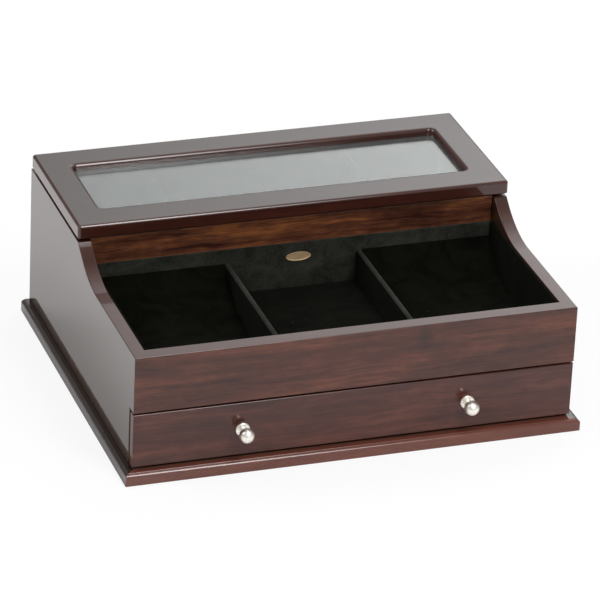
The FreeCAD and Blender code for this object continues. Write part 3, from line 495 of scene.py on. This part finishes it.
def lining(name, node, body="case", finish="velvet"):
    """Card covered in velvet: the cover is drawn round its edges."""
    low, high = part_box(node)
    board = blank(name, low, high)
    size = high - low
    ease_edges(board, COVER_ROUNDING * min(size) / MM, segments=3)
    take_up(board, editing=True)
    bpy.ops.mesh.select_all(action="SELECT")
    bpy.ops.mesh.subdivide(number_cuts=3)
    put_down()
    smooth(board, 50)
    return finished(board, finish, body, "black_velvet", node)


def divider(name, node, body="case"):
    """A velvet-covered partition with a rounded top, its upward faces painted lighter than its walls: painted
    light.
    """
    low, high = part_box(node)
    wall = blank(name, low, high)
    thickness = (high.x - low.x) / MM
    take_up(wall, editing=True)
    top = high.z / MM
    choose("edges", lambda place, way: abs(place.z - top) < 0.01 and abs(way.y) > 0.9)
    bpy.ops.mesh.bevel(offset=thickness * DIVIDER_ROUNDING * MM, segments=5, profile=0.6, affect="EDGES")
    put_down()
    smooth(wall, 50)
    # the walls take the darker copy of the velvet: painted shade
    finished(wall, "shaded_velvet", body, "black_velvet", node)
    # the faces turned up take the lighter copy of the velvet: painted light
    second_finish(wall, "lit_top_velvet", lambda way: way.z > 0.3)
    return wall


def coved_liner(name, node):
    """Card bent into a trough and covered in velvet, its two upper edges rolled over."""
    low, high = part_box(node)
    half, depth = (high.y - low.y) / 2, high.z - low.z
    radius = (half ** 2 + depth ** 2) / (2 * depth)
    middle = (low + high) / 2
    put_down()
    bpy.ops.mesh.primitive_cylinder_add(
        vertices=240, radius=radius, depth=high.x - low.x, end_fill_type="NOTHING",
        location=(middle.x, middle.y, low.z + radius), rotation=(0, math.pi / 2, 0))
    trough = settle(name)
    take_up(trough, editing=True)
    bpy.ops.mesh.select_all(action="SELECT")
    bpy.ops.mesh.bisect(plane_co=(0, 0, high.z - 0.3 * MM), plane_no=(0, 0, 1), clear_outer=True)
    bpy.ops.mesh.select_all(action="SELECT")
    bpy.ops.mesh.normals_make_consistent(inside=False)
    put_down()
    work(trough, "SOLIDIFY", thickness=COVE_CARD * MM, offset=-1, use_even_offset=True, use_rim=True)
    ease_edges(trough, 0.4, segments=3, angle=60)
    smooth(trough, 50)
    # the coves take the darker copy of the velvet: painted shade
    return finished(trough, "shaded_velvet", "case", "black_velvet", node)


def flat_pad(name, node, crown, body="case", slot="black_velvet"):
    """A thin wadded pad under velvet: crowned in the middle, drawn down and in at its edges."""
    low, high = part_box(node)
    pad = blank(name, low, high)
    size = high - low
    take_up(pad, editing=True)
    bpy.ops.mesh.select_all(action="SELECT")
    bpy.ops.mesh.subdivide(number_cuts=15)
    put_down()
    for corner in pad.data.vertices:
        across = 2 * (corner.co.x - low.x) / size.x - 1
        along = 2 * (corner.co.y - low.y) / size.y - 1
        up = (corner.co.z - low.z) / size.z
        edge = max(0, 1 - abs(across) ** PAD_SQUARENESS) * max(0, 1 - abs(along) ** PAD_SQUARENESS)
        corner.co.z -= crown * MM * up * (1 - edge ** 0.5)
        pull = PAD_DRAWN_IN * MM * 4 * up * (1 - up)
        corner.co.x += -pull * across * abs(along - across) * 0.5
        corner.co.y += -pull * along * abs(along - across) * 0.5
    pad.data.update()
    ease_edges(pad, 0.5, segments=3, angle=50)
    work(pad, "SUBSURF", levels=1, render_levels=1)
    smooth(pad, 60)
    # the pads take the darker copy of the velvet: painted shade
    finished(pad, "shaded_velvet", body, slot, node)
    return pad


def tray_lining():
    """Everything covered in velvet in the open tray and in the display compartment."""
    for node in ("tray_lining_back", "display_lining_front", "display_lining_back",
                 "display_lining_left", "display_lining_right"):
        lining("velvet_" + node, node)
    for node in ("tray_lining_front", "tray_lining_left", "tray_lining_right"):
        # the tray's front and side linings take the darker copy of the velvet: painted shade
        lining("velvet_" + node, node, finish="shaded_velvet")
    for node in ("tray_divider_left", "tray_divider_right", "display_divider_left",
                 "display_divider_middle", "display_divider_right"):
        divider("velvet_" + node, node)
    for side in ("left", "right"):
        coved_liner("velvet_cove_" + side, "coved_liner_" + side)
    flat_pad("velvet_tray_pad", "tray_floor_pad", 0.9)
    flat_pad("velvet_display_pad", "display_floor_pad", 0.8)


def oval_plate():
    """A pressed brass oval with a plain raised border, blank inside."""
    low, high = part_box("badge_plate")
    size, middle = high - low, (low + high) / 2
    put_down()
    bpy.ops.mesh.primitive_cylinder_add(
        vertices=96, radius=0.5, depth=1, location=middle, rotation=(math.pi / 2, 0, 0),
        scale=(size.x, size.z, size.y))
    plate = settle("oval_brass_plate")
    take_up(plate, editing=True)
    choose("faces", lambda place, way: way.y < -0.9)
    # from the edge inwards: each step's width and how far it then goes down into the plate
    for width, down in ((0.35, 0), (0.3, 0), (0.2, 0.25), (0.5, -0.05)):
        bpy.ops.mesh.inset(thickness=width * MM)
        bpy.ops.transform.translate(value=(0, down * MM, 0))
    put_down()
    ease_edges(plate, 0.12, segments=2, angle=30)
    smooth(plate, 35)
    finished(plate, "brass", "case", "oval_plate", "badge_plate")


# The lid and its hinges


def lid():
    """The routed frame, its glass, and the beads that hold the glass from below."""
    board = from_solid("lid_board", "lid_frame")
    smooth(board)
    finished(board, "lid", "lid", "lacquered_wood", "lid_frame")
    # the top face takes a darker copy of the lid's stain: painted shade
    second_finish(board, "lid_shaded_top", lambda way: way.z > 0.98)
    pane = from_solid("lid_glass", "glass_pane")
    ease_edges(pane, 0.25, segments=2)
    smooth(pane)
    finished(pane, "glass", "lid", "clear_glass", "glass_pane")
    for side in ("front", "back", "left", "right"):
        bead = from_solid("glass_bead_strip_" + side, "glass_bead_" + side)
        ease_edges(bead, 0.5)
        smooth(bead)
        finished(bead, "lid", "lid", "lacquered_wood", "glass_bead_" + side)
    bumpers = from_solid("felt_bumpers", "lid_bumpers")
    ease_edges(bumpers, 0.25, segments=2)
    smooth(bumpers)
    finished(bumpers, "felt", "case", "felt", "lid_bumpers")


def hinges():
    """Two small butt hinges: leaves with eased edges and countersunk screws."""
    for side in ("left", "right"):
        for half, body in (("case_leaf", "case"), ("lid_leaf", "lid"), ("pin", "lid")):
            node = f"hinge_{side}_{half}"
            piece = from_solid("butt_" + node, node)
            ease_edges(piece, 0.12, segments=2)
            smooth(piece)
            finished(piece, "steel", body, "plated_steel", node)
    for node, body in (("hinge_case_screws", "case"), ("hinge_lid_screws", "lid")):
        screws = from_solid("butt_" + node, node)
        smooth(screws)
        finished(screws, "steel", body, "plated_steel", node)


# The drawer


def turned_knob(name, node):
    """A ball knob turned in one piece: a rounded flange, a waisted neck and a ball."""
    low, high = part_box(node)
    middle = (low + high) / 2
    radius = (high.x - low.x) / 2 / MM
    back = high.y
    # radius and distance out from the drawer front, in millimetres, up to where the ball begins
    outline = [(4.1, 0.0), (4.7, 0.05), (4.88, 0.3), (4.9, 0.8), (4.8, 1.2), (4.5, 1.55), (4.0, 1.78),
               (3.2, 1.86), (2.6, 2.0), (2.25, 2.35), (2.1, 2.8), (2.05, 3.3), (2.15, 3.9), (2.35, 4.5)]
    ball, centre = radius, (high.y - low.y) / MM - radius
    start = math.asin(NECK_AT_BALL / ball)
    for step in range(25):
        angle = start + (math.pi - start) * step / 24
        outline.append((ball * math.sin(angle), centre - ball * math.cos(angle)))
    put_down()
    bpy.ops.mesh.primitive_circle_add(
        vertices=64, radius=outline[0][0] * MM, fill_type="NGON",
        location=(middle.x, back - outline[0][1] * MM, middle.z), rotation=(math.pi / 2, 0, 0))
    knob = settle(name)
    take_up(knob, editing=True)
    bpy.ops.mesh.select_all(action="SELECT")
    bpy.ops.mesh.select_mode(type="EDGE")
    for (wide, out), (next_wide, next_out) in zip(outline, outline[1:]):
        bpy.ops.mesh.extrude_region_move(TRANSFORM_OT_translate={"value": (0, (out - next_out) * MM, 0)})
        shrink = max(next_wide, 0.001) / wide
        bpy.ops.transform.resize(value=(shrink, 1, shrink))
    put_down()
    turn_right_way(knob)
    smooth(knob, 50)
    return finished(knob, "nickel", "drawer", "satin_nickel", node)


def drawer():
    """The drawer front with its knobs, and the lined box behind it."""
    face = from_solid("drawer_face", "drawer_front")
    smooth(face)
    finished(face, "drawer", "drawer", "lacquered_wood", "drawer_front")
    for name, node, finish in (
        ("drawer_box_left", "drawer_left_side", "inner_y"),
        ("drawer_box_right", "drawer_right_side", "inner_y"),
        ("drawer_box_back", "drawer_back", "inner_x"),
        ("drawer_box_bottom", "drawer_bottom", "inner_x"),
    ):
        board = from_solid(name, node)
        ease_edges(board, 0.4, segments=2)
        smooth(board)
        finished(board, finish, "drawer", "inner_wood", node)
    for node in ("drawer_lining_floor", "drawer_lining_back", "drawer_lining_left",
                 "drawer_lining_right", "drawer_lining_front"):
        lining("velvet_" + node, node, "drawer")
    turned_knob("ball_knob_left", "knob_left")
    turned_knob("ball_knob_right", "knob_right")
    screws = from_solid("knob_fixing_screws", "knob_screws")
    smooth(screws)
    finished(screws, "steel", "drawer", "plated_steel", "knob_screws")


case_shell()
case_boards()
tray_lining()
oval_plate()
lid()
hinges()
drawer()


# Floor, light and camera


def lamp(name, place, aim, size, radiance, fade, turn=0):
    """A rectangular soft box at a place, facing a point, turned about its own middle by some degrees.
    Its brightness falls away evenly towards its edges, over the two widths given by fade."""
    light = bpy.data.lights.new(name, "AREA")
    light.shape, light.size, light.size_y = "RECTANGLE", *size
    light.energy = radiance * math.pi * size[0] * size[1]
    light.use_nodes = True
    tree = light.node_tree
    across = put(tree, "SeparateXYZ", {0: put(tree, "NewGeometry").outputs["Parametric"]})
    strength = 1.0
    for letter, width, soft in zip("XY", size, fade):
        offset = put(tree, "Math", {0: across.outputs[letter], 1: 0.5}, operation="SUBTRACT")
        distance = put(tree, "Math", {0: offset.outputs[0]}, operation="ABSOLUTE")
        share = put(tree, "MapRange", {
            "Value": distance.outputs[0], "From Min": 0.5 - soft / width, "From Max": 0.5,
            "To Min": 1, "To Max": 0})
        strength = put(tree, "Math", {0: strength, 1: share.outputs[0]}, operation="MULTIPLY").outputs[0]
    tree.links.new(strength, tree.nodes["Emission"].inputs["Strength"])
    box = bpy.data.objects.new(name, light)
    facing = (Vector(aim) - Vector(place)).to_track_quat("-Z", "Y")
    spin = Quaternion((0, 0, 1), math.radians(turn))
    box.matrix_world = Matrix.Translation(place) @ (facing @ spin).to_matrix().to_4x4()
    box.visible_camera = False
    bpy.context.scene.collection.objects.link(box)


def studio():
    """A white room, bright in front of the box and dim behind it, with a large soft box overhead to
    the rear right, a narrow bright one in front and a square one on the left."""
    world = bpy.data.worlds.new("white_studio")
    bpy.context.scene.world = world
    world.use_nodes = True
    tree = world.node_tree
    room = tree.nodes["Background"]
    way = put(tree, "SeparateXYZ", {0: put(tree, "TexCoord").outputs["Generated"]})
    rearwards = put(tree, "MapRange", {
        "Value": way.outputs["Y"], "From Min": -0.35, "From Max": 0.25}, interpolation_type="SMOOTHSTEP")
    walls = put(tree, "ValToRGB", {"Fac": rearwards.outputs[0]}, stops=[(0.0, "#B4B4B4"), (1.0, "#959595")])
    seen = put(tree, "LightPath").outputs["Is Camera Ray"]
    tree.links.new(put(tree, "Mix", {
        0: seen, 6: walls.outputs[0], 7: colour("#FFFFFF")}, data_type="RGBA").outputs[2],
        room.inputs["Color"])
    lamp("soft_box_behind", (0.98, 1.10, 1.0), (0.98, 1.1001, 0), (2.6, 2.6), 2.0, (1.2, 0.6), turn=-18)
    lamp("soft_box_in_front", (0.2, -0.75, 0.95), (0.03, 0.1, 0.1), (0.46, 1.1), 12, (0.22, 0.15))
    lamp("soft_box_left", (-1.0, 0.2, 0.85), (-0.3, 0.25, 0), (0.8, 0.8), 9.5, (0.3, 0.3))


def white_floor():
    """A sheet of white card under the box, which shows white and keeps the box's shadow."""
    put_down()
    bpy.ops.mesh.primitive_plane_add(size=6, location=(0, 0, -0.0002))
    floor = settle("white_card_floor")
    finish = bpy.data.materials.new("white_card")
    finish.use_nodes = True
    tree = finish.node_tree
    tree.nodes.clear()
    card = put(tree, "BsdfDiffuse", {"Color": colour("#EEEEEE")})
    glow = put(tree, "Emission", {"Color": colour("#FFFFFF"), "Strength": 1.0})
    seen = put(tree, "Math", {
        0: put(tree, "LightPath").outputs["Is Camera Ray"], 1: 0.85}, operation="MULTIPLY")
    both = put(tree, "MixShader", {0: seen.outputs[0], 1: card.outputs[0], 2: glow.outputs[0]})
    put(tree, "OutputMaterial", {"Surface": both.outputs[0]})
    floor.data.materials.append(finish)


def camera():
    """The camera of the photograph: a long lens from the front left, a little rolled."""
    eye = bpy.data.objects.new("camera", bpy.data.cameras.new("camera"))
    eye.data.lens, eye.data.sensor_width = 262.17, 36
    eye.data.clip_start, eye.data.clip_end = 0.1, 20
    around, up, roll = (math.radians(a) for a in (-19.62, 26.90, 2.70))
    back = Vector((math.sin(around) * math.cos(up), -math.cos(around) * math.cos(up), math.sin(up)))
    right = Vector((math.cos(around), math.sin(around), 0))
    top = back.cross(right)
    turned_right = right * math.cos(roll) + top * math.sin(roll)
    turned_up = top * math.cos(roll) - right * math.sin(roll)
    eye.matrix_world = Matrix.Translation((-0.87150, -2.44916, 1.37099)) @ Matrix(
        (turned_right, turned_up, back)).transposed().to_4x4()
    bpy.context.scene.collection.objects.link(eye)
    bpy.context.scene.camera = eye


studio()
white_floor()
camera()
bpy.context.scene.view_settings.view_transform = "Standard"
